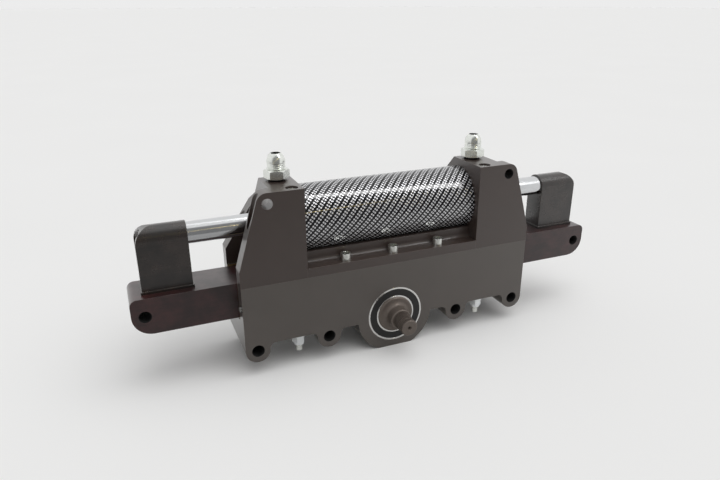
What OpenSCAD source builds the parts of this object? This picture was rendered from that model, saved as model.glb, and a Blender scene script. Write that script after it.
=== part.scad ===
// Power steering rack with the power cylinder above a rack and pinion housing.
// Lengths in mm. X runs along the rack, Y from front to back, Z up.
// The origin is on the line of the lower mounting holes, at mid depth.

/* [Housing] */
// Depth of the housing from front to back
housing_depth = 73; // [60:0.1:90]
// Height of the seam between lower housing and towers above the bolt line
seam_z = 61.9; // [56:0.1:70]
// Spacing of the outer lower mounting holes
outer_bolt_spacing = 266.7; // [240:0.1:290]
// Spacing of the inner lower mounting holes
inner_bolt_spacing = 133.4; // [120:0.1:150]
// Bore of the lower mounting holes
bolt_bore_d = 11.1; // [8:0.1:14]
// Radius of each lug around its hole
lug_r = 11.1; // [9:0.1:14]
// Height of the arches between the lugs
arch_z = 5.5; // [2:0.1:12]
// Corner radius of the arches
arch_corner_r = 5; // [2:0.1:8]
// Radius of the boss round the pinion
boss_r = 38; // [34:0.1:44]
// Height of the flat under the boss
boss_floor_z = -24.8; // [-30:0.1:-20]

/* [Pinion] */
// Height of the pinion axis above the bolt line
pinion_z = 9; // [5:0.1:14]
// Gear module of the rack and pinion teeth
gear_module = 2.5; // [2:0.1:3]
// Number of pinion teeth
pinion_teeth = 17; // [15:1:20]
// Pressure angle of the teeth in degrees
pressure_angle = 20; // [14.5:0.5:25]
// Thinning of each pinion tooth that leaves the running backlash
backlash = 0.16; // [0.05:0.01:0.3]
// Room between the pinion teeth and the rear bearing
pinion_end_room = 4; // [2:0.1:8]
// Radial room between pinion tips and the housing cavity
cavity_room = 0.9; // [0.5:0.1:2]
// Radius of the shoulder behind the front bearing
shoulder_r = 19; // [18:0.1:20]
// Length of that shoulder along the shaft
shoulder_length = 2; // [1:0.1:4]
// Length of the input shaft in front of the housing
input_length = 30.5; // [25:0.1:40]
// Outer diameter of the input spline
spline_d = 15.9; // [14:0.1:19]
// Length of the splined end
spline_length = 17; // [12:0.1:20]
// Number of fine splines
spline_teeth = 36; // [24:1:48]
// Depth of one spline
spline_depth = 0.55; // [0.3:0.05:1]
// Radius of the neck behind the spline
neck_r = 10.2; // [9:0.1:12]
// Fillet radius between neck and hub
neck_fillet_r = 4; // [2:0.1:5]
// Width of the clamp bolt groove round the spline
groove_width = 4; // [2:0.1:6]
// Depth of the clamp bolt groove
groove_depth = 1.4; // [0.5:0.1:2]
// Distance from the shaft end to the groove
groove_inset = 4.2; // [2:0.1:8]
// Radius of the centre drill in the shaft end
centre_drill_r = 2; // [1:0.1:3]
// Bevel of the shaft end
end_bevel = 1; // [0.5:0.1:2]
// Step of the hub in front of the bearing
hub_step = 1.5; // [0.5:0.1:3]
// Chamfer of the hub and of the rear shaft end
shaft_chamfer = 0.8; // [0.4:0.1:1.5]

/* [Bearings] */
// Outer diameter of the front bearing
front_bearing_d = 55; // [50:0.1:60]
// Bore of the front bearing
front_bearing_bore = 35; // [30:0.1:36]
// Width of the front bearing
front_bearing_width = 10; // [8:0.1:14]
// Radial thickness of the inner front race
front_inner_wall = 2.8; // [2:0.1:4]
// Radial thickness of the outer front race
front_outer_wall = 3; // [2:0.1:4]
// Number of balls in the front bearing
front_balls = 20; // [10:1:24]
// Outer diameter of the rear bearing
rear_bearing_d = 35; // [30:0.1:40]
// Bore of the rear bearing
rear_bearing_bore = 17; // [15:0.1:20]
// Width of the rear bearing
rear_bearing_width = 10; // [8:0.1:12]
// Radial thickness of both rear races
rear_race_wall = 2.6; // [2:0.1:3]
// Number of balls in the rear bearing
rear_balls = 11; // [7:1:12]
// Depth of the ball groove in every race
ball_groove = 0.5; // [0.3:0.05:0.8]
// Width of the bright land of both front races beside a seal
front_land = 1.6; // [1.2:0.1:2]
// Thickness of a bearing seal
bearing_seal_t = 1; // [0.6:0.1:1.5]
// Recess of a bearing seal behind the race face
seal_recess = 0.25; // [0.1:0.05:0.6]
// Room behind a bearing seal in the turning race
seal_room = 0.3; // [0.2:0.05:0.5]
// Radial running clearance of balls, seals and other running fits
running_gap = 0.05; // [0.02:0.01:0.08]
// Thickness of the rear retaining ring
ring_t = 1.5; // [1:0.1:2]
// Radial width of the rear retaining ring
ring_width = 3.2; // [2:0.1:4]
// Depth of its groove in the housing
ring_groove = 0.8; // [0.4:0.1:1.2]
// Distance from the back face to the retaining ring
ring_inset = 1.5; // [1:0.1:3]
// Opening of the retaining ring
ring_opening = 6; // [4:0.5:10]
// Thickness of the housing land in front of the rear bearing
rear_land = 1; // [0.8:0.1:1.5]

/* [Rack] */
// Length of the rack bar
bar_length = 465; // [440:0.5:490]
// Depth of the rack bar from front to back
bar_depth = 40; // [34:0.1:44]
// Height of the rack bar
bar_height = 32.9; // [28:0.1:36]
// Distance of the tie rod holes from the bar ends
tie_hole_inset = 11; // [9:0.1:16]
// Bore of the tie rod holes
tie_hole_d = 10.3; // [9:0.1:13]
// Radius of the upper bar end corners
bar_top_r = 6; // [2:0.1:9]
// Radius of the lower bar end corners
bar_bottom_r = 17; // [12:0.1:20]
// Number of rack teeth
rack_teeth = 21; // [19:2:25]
// Travel of the rack to each side
travel = 63.5; // [50:0.5:65]
// Wall of the rack guides in the housing channel
guide_wall = 2; // [1.5:0.1:3]
// Length of each rack guide
guide_length = 32; // [25:0.1:36]
// Sliding clearance between the bar and its guides and top pad
slide_gap = 0.06; // [0.03:0.01:0.1]
// Recess of the guides behind the end faces
guide_recess = 0.4; // [0.2:0.1:1]
// Gap between the guides and the seam
guide_top_gap = 0.5; // [0.3:0.1:1]
// Length of the top pad over the pinion
pad_length = 120; // [80:1:160]
// Depth of the top pad
pad_depth = 36; // [20:1:40]

/* [Towers] */
// Distance from the middle to the inner face of a tower
tower_inner_x = 85.3; // [80:0.1:90]
// Height of the tower tops above the bolt line
tower_top_z = 143.1; // [135:0.1:150]
// Spacing of the upper mounting holes
tower_bolt_spacing = 234.6; // [220:0.1:245]
// Height of the upper mounting holes above the lower ones
tower_bolt_z = 133.6; // [125:0.1:140]
// Bore of the upper mounting holes
tower_bore_d = 9.5; // [8:0.1:12]
// Radius of the outer top corner of a tower
tower_corner_r = 9.5; // [8:0.1:12]
// Height above the bolt line where the outer edge starts to lean inwards
tower_foot_z = 76.9; // [70:0.1:90]
// Distance of the back edge of the tower top behind mid depth
tower_back_y = 11.5; // [9:0.1:14]
// Height above the bolt line where the back gusset edge starts to lean outwards
back_edge_z = 125; // [118:0.1:130]
// Thickness of the front and back gussets beside the slot
gusset_t = 13.8; // [10:0.1:16]
// Thickness of the tower wall that closes the cylinder
end_wall = 27; // [24:0.1:29]

/* [Middle plate] */
// Height of the plate above the seam
plate_height = 8.7; // [6:0.1:12]
// Depth of the screw ledge at front and back
ledge_depth = 14; // [12:0.1:18]
// Height of the cradle above the plate
cradle_height = 10.2; // [6:0.1:12]
// Radius of the fillet at the foot of the cradle
cradle_fillet_r = 4; // [2:0.1:6]
// Gap between the cradle and the tube
cradle_gap = 0.4; // [0.3:0.1:1]
// Spacing of the plate screws
plate_screw_spacing = 47; // [40:0.5:60]

/* [Cylinder] */
// Height of the cylinder axis above the bolt line
cylinder_z = 105.8; // [100:0.1:110]
// Bore of the cylinder
cylinder_bore_d = 50.8; // [45:0.1:55]
// Wall of the cylinder liner
liner_wall = 3.2; // [2:0.1:5]
// Wall of the woven sleeve round the liner
sleeve_wall = 1.7; // [1:0.1:3]
// Depth of the liner in each tower
liner_seat = 4.5; // [4:0.1:5]
// Width of the liner seal grooves
liner_groove = 2; // [1.5:0.1:2.5]
// Depth of the liner seal grooves
liner_groove_depth = 1.6; // [1:0.1:2.5]
// Diameter of the piston rod
rod_d = 19.05; // [16:0.05:22]
// Length of the piston
piston_length = 20; // [14:0.5:26]
// Radial gap between the piston body and the bore
piston_gap = 0.3; // [0.3:0.05:0.6]
// Width of the piston seal
piston_seal_width = 4; // [2:0.1:5]
// Width of the piston wear ring
wear_ring_width = 5; // [3:0.1:6]
// Depth of the grooves in the piston
piston_groove = 3; // [2:0.1:5]
// Thickness of the rings that hold the piston on its rod
clip_t = 1.6; // [1:0.1:2]
// Height of those rings over the rod
clip_height = 2; // [1:0.1:3]
// Depth of those rings in the rod
clip_groove = 1; // [0.5:0.1:1.5]
// Length of a rod gland inside its tower
gland_seat = 6; // [4:0.1:7]
// Radius of the gland and rod seal pocket
gland_r = 13; // [12:0.1:14]
// Radius of the gland nose that stops the piston
nose_r = 14.5; // [13.5:0.1:15]
// Clearance between the piston at full travel and the gland nose
stop_gap = 0.5; // [0.3:0.1:2]
// Length of a rod seal
rod_seal_length = 4.4; // [3:0.1:5]
// Length of the wiper lip outside the tower
wiper_lip = 1.2; // [0.6:0.1:2]
// Radial gap between the rod and the hole in the tower wall
rod_hole_gap = 0.35; // [0.3:0.05:0.6]
// Length of a rod wiper
wiper_length = 3.5; // [2:0.1:4]
// Radius of a rod wiper
wiper_r = 13.4; // [12:0.1:15]

/* [Ports] */
// Distance of the hose fittings from the middle
fitting_x = 98.7; // [96:0.1:99]
// Diameter of the port thread and of the flare thread
port_d = 14.3; // [12:0.1:14.5]
// Depth of the port thread
port_depth = 12; // [10:0.1:14]
// Diameter of the drilled oil passages
passage_d = 6; // [4:0.1:7]
// Height of the passage above the cylinder axis
passage_rise = 20; // [18.5:0.1:21]
// Width across flats of the fitting hexagon
fitting_af = 19.05; // [17:0.05:22]
// Height of the fitting hexagon
fitting_hex = 9; // [7:0.1:11]
// Height of the fitting above the tower
fitting_height = 23.4; // [20:0.1:28]
// Thickness of the fitting seal ring
fitting_seal_t = 1.6; // [1:0.1:2]
// Pitch of the fitting thread ridges
thread_pitch = 1.4; // [1:0.1:2]
// Depth of the fitting thread ridges
thread_depth = 0.5; // [0.3:0.05:0.8]
// Length of the flare cone at the top of the fitting
flare_length = 2.6; // [2:0.1:4]
// Angle of the flare cone from the axis in degrees
flare_angle = 37; // [30:0.5:45]
// Step from the thread to the plain neck of the fitting
neck_step = 1; // [0.6:0.1:1.5]
// Length of the plain neck above the hexagon
neck_length = 1.2; // [0.8:0.1:2]
// Height of the bevels on the hexagon corners
hex_bevel = 0.9; // [0.5:0.1:1.5]

/* [Rod blocks] */
// Distance from the bar end to the outer face of a rod block
block_end_inset = 11.4; // [8:0.1:16]
// Length of a rod block
block_length = 41.7; // [38:0.1:44]
// Depth of a rod block
block_depth = 22.2; // [21:0.1:26]
// Radius of the outer top corner of a block
block_corner_r = 14; // [10:0.1:16]
// Depth of the rod socket in a block
rod_socket = 12; // [8:0.1:16]
// Height of the wider foot of a block
foot_height = 2.2; // [1:0.1:4]
// Step of the foot beyond the block faces
foot_step = 1; // [0.5:0.1:2]
// Distance of the block bolts from the inner face
block_bolt_inset = 9; // [8:0.1:11]
// Spacing of the two bolts of a block
block_bolt_spacing = 16; // [13:0.1:18]
// Length of a block bolt above the bar
block_bolt_rise = 18; // [10:0.1:24]

/* [Screws] */
// Diameter of the quarter inch screws and tie bolts
screw_d = 6.35; // [5:0.05:7]
// Radial clearance of a screw in its hole
screw_gap = 0.2; // [0.1:0.05:0.4]
// Diameter of a quarter inch screw head
screw_head_d = 9.5; // [8:0.1:11]
// Height of a quarter inch screw head
screw_head_h = 6.4; // [5:0.1:8]
// Width across flats of the screw sockets
screw_socket_af = 4.8; // [4:0.1:5.5]
// Length of the plate and tower screws in the housing
plate_screw_grip = 15; // [10:0.5:18]
// Distance of the front screw and bolt line from the front face
screw_line = 7.35; // [7:0.05:8]
// Distance of the tie bolts from the middle
tie_bolt_x = 94.1; // [93:0.1:98]
// Distance of the tower screws from the middle
tower_screw_x = 128.3; // [127.8:0.1:130]
// Height of the tower screw seats above the bolt line
tower_seat_z = 80; // [74:0.1:88]
// Diameter of the tie bolt counterbores
counterbore_d = 11.1; // [10:0.1:12]
// Depth of the front counterbores
counterbore_depth = 8; // [6.5:0.1:14]
// Height of the back counterbore floors above the bolt line
back_seat_z = 116; // [108:0.1:120]
// Height of the tie bolt tips above the bolt line
tie_tip_z = -11; // [-14:0.1:-6]
// Thickness of the tie bolt washers
washer_t = 1.6; // [1:0.1:2.5]
// Diameter of the tie bolt washers
washer_d = 13.6; // [12:0.1:14.5]
// Height of the tie bolt nuts
nut_height = 8.2; // [5:0.1:9]
// Width across flats of the tie bolt nuts
nut_af = 11.1; // [10:0.1:12]
// Step from the flats of a lock nut to its round collar
collar_step = 0.5; // [0.2:0.1:1]
// Height of the round collar on each lock nut
nut_collar = 2.4; // [1:0.1:3]
// Diameter of the screws in the rod ends
rod_screw_d = 9.5; // [8:0.1:10]
// Recess of a rod screw head in its block
rod_screw_recess = 1.5; // [0.5:0.1:3]
// Recess of a block bolt head in the bar
head_recess = 0.8; // [0.4:0.1:2]
// Room past the end of each screw in a blind hole
hole_run_out = 1; // [0.5:0.1:2]
// Length of a rod screw inside the rod
rod_screw_grip = 20; // [12:0.5:30]
// Diameter of a rod screw head
rod_screw_head_d = 14.3; // [12:0.1:15]
// Height of a rod screw head
rod_screw_head_h = 9.5; // [7:0.1:11]
// Diameter of the counterbore of a rod screw
rod_screw_bore_d = 15.4; // [14.5:0.1:17]
// Width across flats of the rod screw sockets
rod_screw_af = 7.9; // [6:0.1:8]
// Bevel of the piston rod ends
rod_bevel = 1; // [0.5:0.1:2]
// Diameter of the small guide screws
guide_screw_d = 3; // [2:0.1:4]
// Width across flats of the guide screw sockets
guide_screw_af = 2; // [1.5:0.1:2.5]
// Diameter of a guide screw head
guide_head_d = 5; // [4:0.1:5.5]
// Height of a guide screw head
guide_head_h = 1.8; // [1:0.1:3]
// Length of a guide screw in the housing
guide_screw_grip = 10; // [6:0.5:14]
// Height of the guide screws above the bolt line
guide_screw_z = 41.5; // [34:0.1:54]
// Distance of the guide screws from the front and back faces
guide_screw_inset = 4.5; // [4:0.1:8]

/* [Show] */
// Which piece to draw

/* [Hidden] */
$fn = 96;
eps = 0.01;
far = 400;
housing_length = outer_bolt_spacing + 2 * lug_r;
half_length = housing_length / 2;
half_depth = housing_depth / 2;
front_y = -half_depth;
screw_y = half_depth - screw_line;
guide_screw_y = half_depth - guide_screw_inset;
// teeth
pitch_r = gear_module * pinion_teeth / 2;
tip_r = pitch_r + gear_module;
root_r = pitch_r - 1.25 * gear_module;
core_r = root_r - 1;
root_spread = 1;
base_r = pitch_r * cos(pressure_angle);
tooth_pitch = gear_module * PI;
pitch_z = pinion_z + pitch_r;
bar_z = pitch_z - gear_module;
bar_top_z = bar_z + bar_height;
rack_tooth_depth = 2.25 * gear_module;
cavity_r = tip_r + cavity_room;
deg = 180 / PI;
flank_steps = 5;
// half widths of one spline as shares of its pitch
spline_root_half = 0.4;
spline_tip_half = 0.15;
// bearings along the pinion
front_in_y = front_y + front_bearing_width;
pinion_y0 = front_in_y + shoulder_length;
ring_y1 = half_depth - ring_inset;
ring_y0 = ring_y1 - ring_t;
rear_y0 = ring_y0 - rear_bearing_width;
pinion_y1 = rear_y0 - pinion_end_room;
front_inner_r = front_bearing_bore / 2 + front_inner_wall;
front_outer_r = front_bearing_d / 2 - front_outer_wall;
seal_depth = seal_recess + bearing_seal_t;
rear_inner_r = rear_bearing_bore / 2 + rear_race_wall;
rear_outer_r = rear_bearing_d / 2 - rear_race_wall;
// rack channel
guide_half = bar_depth / 2 + slide_gap;
channel_half = guide_half + guide_wall;
channel_z = bar_z - slide_gap - guide_wall;
tie_hole_spacing = bar_length - 2 * tie_hole_inset;
// towers
slot_half = half_depth - gusset_t;
wall_x = tower_inner_x + end_wall;
seat_x = tower_inner_x + liner_seat;
gland_end_x = seat_x + gland_seat;
seal_end_x = gland_end_x + rod_seal_length;
corner_x = tower_bolt_spacing / 2;
// outer edge from the foot to the tangent of the round corner
lean_run = half_length - corner_x;
lean_rise = tower_bolt_z - tower_foot_z;
lean = atan2(lean_run, lean_rise) - asin(tower_corner_r / norm([lean_run, lean_rise]));
lean_x = corner_x + (tower_corner_r - eps) * cos(lean);
lean_z = tower_bolt_z + (tower_corner_r - eps) * sin(lean);
// cylinder
bore_r = cylinder_bore_d / 2;
liner_r = bore_r + liner_wall;
sleeve_r = liner_r + sleeve_wall;
rod_r = rod_d / 2;
piston_r = bore_r - piston_gap;
ring_r = bore_r - running_gap;
nose_x = travel + piston_length / 2 + clip_t + stop_gap;
plate_z = seam_z + plate_height;
// fittings
fitting_z = tower_top_z;
port_r = port_d / 2;
fitting_bore_r = passage_d / 2;
tie_seat_z = tower_top_z - counterbore_depth;
head_seat = bar_z + screw_head_h + head_recess;
block_end_x = bar_length / 2 - block_end_inset;
block_inner_x = block_end_x - block_length;
rod_screw_seat = block_end_x - rod_screw_head_h - rod_screw_recess;
block_r = block_depth / 2;

// box between two corners
module box(x0, x1, y0, y1, z0, z1) {
  translate([x0, y0, z0]) cube([x1 - x0, y1 - y0, z1 - z0]);
}

// round bar along X
module bar_x(r, x0, x1, y = 0, z = 0) {
  translate([x0, y, z]) rotate([0, 90, 0]) cylinder(h = x1 - x0, r = r);
}

// round bar along Y
module bar_y(r, y0, y1, x = 0, z = 0) {
  translate([x, y1, z]) rotate([90, 0, 0]) cylinder(h = y1 - y0, r = r);
}

// round bar along Z
module bar_zz(r, z0, z1, x = 0, y = 0) {
  translate([x, y, z0]) cylinder(h = z1 - z0, r = r);
}

// turned ring along Y, drawn as radius and length along Y
module turn_y(x = 0, z = 0) {
  translate([x, 0, z]) rotate([-90, 0, 0]) rotate_extrude() children();
}

// turned ring along X, drawn as radius and length along X
module turn_x(y = 0, z = 0) {
  translate([0, y, z]) rotate([0, 90, 0]) rotate_extrude() children();
}

// plate drawn in X and Z, from y0 to y1
module slab_y(y0, y1) {
  translate([0, y1, 0]) rotate([90, 0, 0]) linear_extrude(y1 - y0) children();
}

// plate drawn in Y and Z, from x0 to x1
module slab_x(x0, x1) {
  translate([x0, 0, 0]) rotate([90, 0, 90]) linear_extrude(x1 - x0) children();
}

module both_ends() {
  for (m = [0, 1]) mirror([m, 0, 0]) children();
}

module hexagon(af, z0, z1) {
  translate([0, 0, z0]) cylinder(h = z1 - z0, d = af / cos(30), $fn = 6);
}

// socket head screw pointing down, its head resting at z = 0
module cap_screw(d, head_d, head_h, length, af) {
  difference() {
    union() {
      cylinder(h = head_h, d = head_d);
      translate([0, 0, -length]) cylinder(h = length + eps, d = d);
    }
    hexagon(af, head_h / 2, head_h + eps);
  }
}

// rounded arch between two lugs, from the left to the right edge
module arch(x0, x1) {
  translate([x0, -far]) square([x1 - x0, far + arch_z - arch_corner_r]);
  translate([x0 + arch_corner_r, -far])
    square([x1 - x0 - 2 * arch_corner_r, far + arch_z]);
  for (x = [x0 + arch_corner_r, x1 - arch_corner_r])
    translate([x, arch_z - arch_corner_r]) circle(r = arch_corner_r);
}

module housing_outline() {
  lugs = [outer_bolt_spacing / 2, inner_bolt_spacing / 2];
  difference() {
    translate([-half_length, 0]) square([housing_length, seam_z]);
    for (s = [0, 1]) mirror([s, 0]) {
      arch(lugs[1] + lug_r, lugs[0] - lug_r);
      arch(boss_r - 2 * arch_corner_r, lugs[1] - lug_r);
    }
  }
  for (x = [-lugs[0], -lugs[1], lugs[1], lugs[0]])
    translate([x, 0]) circle(r = lug_r);
  intersection() {
    translate([0, pinion_z]) circle(r = boss_r);
    translate([-boss_r, boss_floor_z]) square([2 * boss_r, far]);
  }
}

module rack_housing() {
  color("dimgray")
  difference() {
    slab_y(front_y, half_depth) housing_outline();
    // lower mounting holes
    for (x = [-outer_bolt_spacing, -inner_bolt_spacing, inner_bolt_spacing, outer_bolt_spacing])
      bar_y(bolt_bore_d / 2, front_y - eps, half_depth + eps, x / 2, 0);
    // channel of the rack
    box(-far, far, -channel_half, channel_half, channel_z, far);
    // pinion bores, stepped from the front
    bar_y(front_bearing_d / 2, front_y - eps, front_in_y, 0, pinion_z);
    bar_y(cavity_r, front_in_y - eps, rear_y0 - rear_land, 0, pinion_z);
    bar_y(rear_outer_r, rear_y0 - rear_land - eps, rear_y0 + eps, 0, pinion_z);
    bar_y(rear_bearing_d / 2, rear_y0, half_depth + eps, 0, pinion_z);
    bar_y(rear_bearing_d / 2 + ring_groove, ring_y0, ring_y1, 0, pinion_z);
    // screws of the middle plate and the towers
    for (x = [-tower_screw_x, -plate_screw_spacing, 0, plate_screw_spacing, tower_screw_x])
      for (y = [-screw_y, screw_y])
        bar_zz(screw_d / 2, seam_z - plate_screw_grip - hole_run_out, seam_z + eps, x, y);
    // tie bolts
    for (x = [-tie_bolt_x, tie_bolt_x])
      for (y = [-screw_y, screw_y])
        bar_zz(screw_d / 2 + screw_gap, -far, far, x, y);
    // guide screws in both end faces
    both_ends()
      for (y = [-1, 1])
        bar_x(guide_screw_d / 2, half_length - guide_screw_grip - hole_run_out,
              half_length + eps, y * guide_screw_y, guide_screw_z);
  }
}

module cradle_outline() {
  cradle_half = half_depth - ledge_depth;
  difference() {
    union() {
      translate([-half_depth, seam_z]) square([housing_depth, plate_height]);
      translate([-cradle_half, seam_z])
        square([2 * cradle_half, plate_height + cradle_height]);
      for (s = [0, 1]) mirror([s, 0]) difference() {
        translate([cradle_half - eps, plate_z - eps])
          square([cradle_fillet_r + eps, cradle_fillet_r + eps]);
        translate([cradle_half + cradle_fillet_r, plate_z + cradle_fillet_r])
          circle(r = cradle_fillet_r);
      }
    }
    translate([0, cylinder_z]) circle(r = sleeve_r + cradle_gap);
  }
}

module middle_plate() {
  color("dimgray")
  difference() {
    slab_x(-tower_inner_x, tower_inner_x) cradle_outline();
    // screw holes, with a spot face cut into the fillet for each head
    for (x = [-plate_screw_spacing, 0, plate_screw_spacing])
      for (y = [-screw_y, screw_y]) {
        bar_zz(screw_d / 2 + screw_gap, seam_z - eps, far, x, y);
        bar_zz(counterbore_d / 2, plate_z, far, x, y);
      }
  }
}

// outline of a tower seen from the front, up to the back gusset
module tower_front_outline() {
  translate([tower_inner_x, seam_z])
    square([corner_x - tower_inner_x, tower_top_z - seam_z]);
  polygon([
    [corner_x - eps, seam_z],
    [half_length, seam_z],
    [half_length, tower_foot_z],
    [lean_x, lean_z],
    [corner_x - eps, tower_bolt_z]
  ]);
  translate([corner_x, tower_bolt_z]) circle(r = tower_corner_r);
}

// outline of the back gusset
module tower_back_outline() {
  polygon([
    [tower_inner_x, seam_z],
    [half_length, seam_z],
    [half_length, tower_foot_z],
    [wall_x, back_edge_z],
    [wall_x, tower_top_z],
    [tower_inner_x, tower_top_z]
  ]);
}

// side of a tower, bevelled at the back of its top
module tower_side() {
  polygon([
    [front_y, seam_z],
    [half_depth, seam_z],
    [half_depth, tower_top_z - half_depth + tower_back_y],
    [tower_back_y, tower_top_z],
    [front_y, tower_top_z]
  ]);
}

module tower() {
  difference() {
    intersection() {
      union() {
        slab_y(front_y, slot_half) tower_front_outline();
        slab_y(slot_half - eps, half_depth) tower_back_outline();
      }
      slab_x(0, half_length + 1) tower_side();
    }
    // slot that the rod block enters
    box(wall_x, far, -slot_half, slot_half, seam_z - 1, far);
    // upper mounting hole in the front gusset
    bar_y(tower_bore_d / 2, front_y - eps, -slot_half + eps, corner_x, tower_bolt_z);
    // seat of the liner and groove of its seal
    bar_x(liner_r, tower_inner_x - eps, seat_x, 0, cylinder_z);
    bar_x(liner_r + liner_groove_depth, liner_groove_x(), liner_groove_x() + liner_groove,
          0, cylinder_z);
    // gland and rod seal pocket, rod hole, wiper pocket
    bar_x(gland_r, seat_x - eps, seal_end_x, 0, cylinder_z);
    bar_x(rod_r + rod_hole_gap, seal_end_x - eps, wall_x, 0, cylinder_z);
    bar_x(wiper_r, wall_x - wiper_length, wall_x + eps, 0, cylinder_z);
    // port and oil passages
    bar_zz(port_r, fitting_z - port_depth, far, fitting_x, 0);
    bar_zz(passage_d / 2, cylinder_z + passage_rise, fitting_z - port_depth + eps, fitting_x, 0);
    bar_x(passage_d / 2, seat_x - eps, fitting_x + passage_d / 4, 0, cylinder_z + passage_rise);
    // tie bolts with their counterbores
    for (y = [-screw_y, screw_y])
      bar_zz(screw_d / 2 + screw_gap, seam_z - eps, far, tie_bolt_x, y);
    bar_zz(counterbore_d / 2, tie_seat_z, far, tie_bolt_x, -screw_y);
    bar_zz(counterbore_d / 2, back_seat_z, far, tie_bolt_x, screw_y);
    // tower screws, their counterbores open on the leaning edges
    for (y = [-screw_y, screw_y]) {
      bar_zz(screw_d / 2 + screw_gap, seam_z - eps, far, tower_screw_x, y);
      bar_zz(counterbore_d / 2, tower_seat_z, far, tower_screw_x, y);
    }
  }
}

// start of the liner seal groove
function liner_groove_x() = tower_inner_x + (liner_seat - liner_groove) / 2;

module right_tower() {
  color("dimgray") tower();
}

module left_tower() {
  color("dimgray") mirror([1, 0, 0]) tower();
}

module cylinder_liner() {
  color("silver")
  turn_x(0, cylinder_z)
    translate([bore_r, -seat_x]) square([liner_wall, 2 * seat_x]);
}

module woven_sleeve() {
  color("black")
  turn_x(0, cylinder_z)
    translate([liner_r, -tower_inner_x]) square([sleeve_wall, 2 * tower_inner_x]);
}

module liner_seals() {
  color("black")
  both_ends()
    turn_x(0, cylinder_z)
      translate([liner_r, liner_groove_x()]) square([liner_groove_depth, liner_groove]);
}

module rod_glands() {
  color("goldenrod")
  both_ends()
    turn_x(0, cylinder_z) {
      translate([rod_r + running_gap, nose_x])
        square([nose_r - rod_r - running_gap, seat_x - nose_x]);
      translate([rod_r + running_gap, seat_x - eps])
        square([gland_r - rod_r - running_gap, gland_seat + eps]);
    }
}

module rod_seals() {
  color("black")
  both_ends()
    turn_x(0, cylinder_z)
      translate([rod_r + running_gap, gland_end_x])
        square([gland_r - rod_r - running_gap, rod_seal_length]);
}

module rod_wipers() {
  color("black")
  both_ends()
    turn_x(0, cylinder_z)
      polygon([
        [rod_r + running_gap, wall_x - wiper_length],
        [wiper_r, wall_x - wiper_length],
        [wiper_r, wall_x],
        [rod_r + wiper_lip, wall_x + wiper_lip],
        [rod_r + running_gap, wall_x + wiper_lip]
      ]);
}

module plate_screws() {
  color("silver")
  for (x = [-plate_screw_spacing, 0, plate_screw_spacing])
    for (y = [-screw_y, screw_y])
      translate([x, y, plate_z])
        cap_screw(screw_d, screw_head_d, screw_head_h, plate_height + plate_screw_grip,
                  screw_socket_af);
}

module tower_screws() {
  color("silver")
  for (x = [-tower_screw_x, tower_screw_x])
    for (y = [-screw_y, screw_y])
      translate([x, y, tower_seat_z])
        cap_screw(screw_d, screw_head_d, screw_head_h,
                  tower_seat_z - seam_z + plate_screw_grip, screw_socket_af);
}

module front_tie_bolts() {
  color("silver")
  for (x = [-tie_bolt_x, tie_bolt_x])
    translate([x, -screw_y, tie_seat_z])
      cap_screw(screw_d, screw_head_d, screw_head_h, tie_seat_z - tie_tip_z,
                screw_socket_af);
}

module back_tie_bolts() {
  color("silver")
  for (x = [-tie_bolt_x, tie_bolt_x])
    translate([x, screw_y, back_seat_z])
      cap_screw(screw_d, screw_head_d, screw_head_h, back_seat_z - tie_tip_z,
                screw_socket_af);
}

module tie_washers() {
  color("silver")
  for (x = [-tie_bolt_x, tie_bolt_x])
    for (y = [-screw_y, screw_y])
      difference() {
        bar_zz(washer_d / 2, arch_z - washer_t, arch_z, x, y);
        bar_zz(screw_d / 2, -far, far, x, y);
      }
}

module tie_nuts() {
  color("silver")
  for (x = [-tie_bolt_x, tie_bolt_x])
    for (y = [-screw_y, screw_y])
      translate([x, y, arch_z - washer_t - nut_height])
        difference() {
          union() {
            hexagon(nut_af, nut_collar, nut_height);
            cylinder(h = nut_collar + eps, d = nut_af - 2 * collar_step);
          }
          translate([0, 0, -eps]) cylinder(h = nut_height + 1, d = screw_d);
        }
}

// half profile of a hose fitting, radius and height over the tower
module fitting_profile() {
  ridge_z0 = fitting_seal_t + fitting_hex + neck_length;
  ridges = floor((fitting_height - flare_length - ridge_z0) / thread_pitch);
  ridge_top = ridge_z0 + ridges * thread_pitch;
  difference() {
    union() {
      translate([0, -port_depth]) square([port_r, port_depth - neck_step]);
      translate([0, -neck_step - eps])
        square([port_r - neck_step, ridge_z0 + neck_step + 2 * eps]);
      polygon([
        [0, ridge_z0],
        for (i = [0 : ridges - 1]) each [
          [port_r - thread_depth, ridge_z0 + i * thread_pitch],
          [port_r, ridge_z0 + (i + 0.35) * thread_pitch],
          [port_r, ridge_z0 + (i + 0.65) * thread_pitch]
        ],
        [port_r - thread_depth, ridge_top],
        [port_r - neck_step, ridge_top],
        [port_r - neck_step, fitting_height - flare_length],
        [port_r - neck_step - flare_length * tan(flare_angle), fitting_height],
        [0, fitting_height]
      ]);
    }
    translate([-far, -far]) square([far + fitting_bore_r, 2 * far]);
  }
}

module hose_fittings() {
  color("silver")
  both_ends()
    translate([fitting_x, 0, fitting_z]) {
      rotate_extrude() fitting_profile();
      difference() {
        intersection() {
          rotate([0, 0, 30]) hexagon(fitting_af, fitting_seal_t, fitting_seal_t + fitting_hex);
          translate([0, 0, fitting_seal_t])
            rotate_extrude() polygon([
              [0, 0],
              [fitting_af / 2, 0],
              [fitting_af / cos(30) / 2, hex_bevel],
              [fitting_af / cos(30) / 2, fitting_hex - hex_bevel],
              [fitting_af / 2, fitting_hex],
              [0, fitting_hex]
            ]);
        }
        cylinder(h = far, r = port_r - neck_step - eps);
      }
    }
}

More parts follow.
